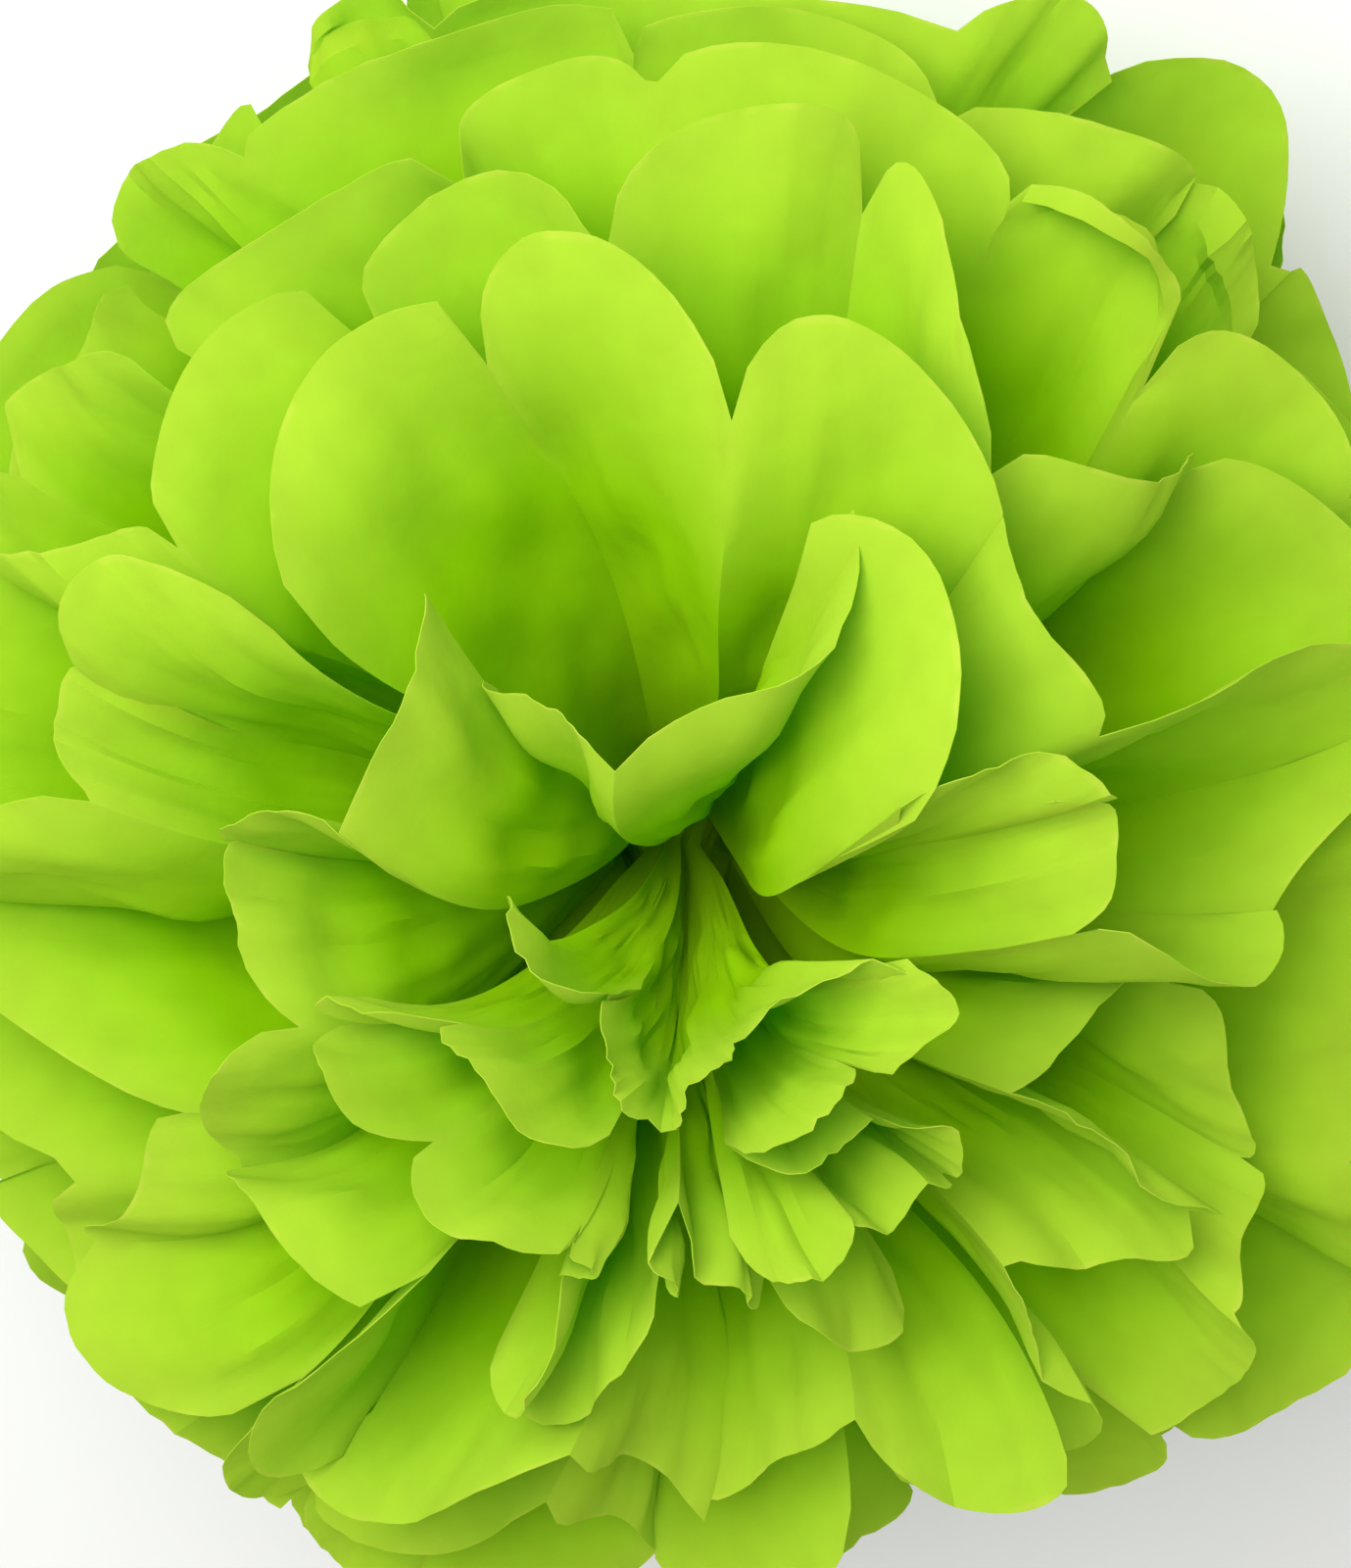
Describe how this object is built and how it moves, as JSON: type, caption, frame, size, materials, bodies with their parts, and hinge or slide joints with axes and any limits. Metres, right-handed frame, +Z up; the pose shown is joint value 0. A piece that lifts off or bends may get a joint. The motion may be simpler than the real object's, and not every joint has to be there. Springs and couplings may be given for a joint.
{
  "type": "tissue paper pom pom",
  "caption": "Lime green tissue paper pom pom: pleated sheets gathered by a wire tie and fanned out into a ball of petals.",
  "frame": {"origin": "on the table under the centre of the ball's box, where the lower petals rest", "axes": "+Z up along the flower axis, +X along the length of the sheets through the wire tie, +Y across their pleats"},
  "size_m": [0.2394, 0.25, 0.2259],
  "materials": {
    "tissue": "matte, thin, lets light through",
    "wire": "satin"
  },
  "bodies": {
    "root": {"tissue_sheet_1": "tissue", "tissue_sheet_2": "tissue", "tissue_sheet_3": "tissue", "tissue_sheet_4": "tissue", "tissue_sheet_5": "tissue", "tissue_sheet_6": "tissue", "tissue_sheet_7": "tissue", "tissue_sheet_8": "tissue", "tissue_sheet_9": "tissue", "tissue_sheet_10": "tissue", "tissue_sheet_11": "tissue", "tissue_sheet_12": "tissue", "tie_wire": "wire"}
  },
  "joints": []
}
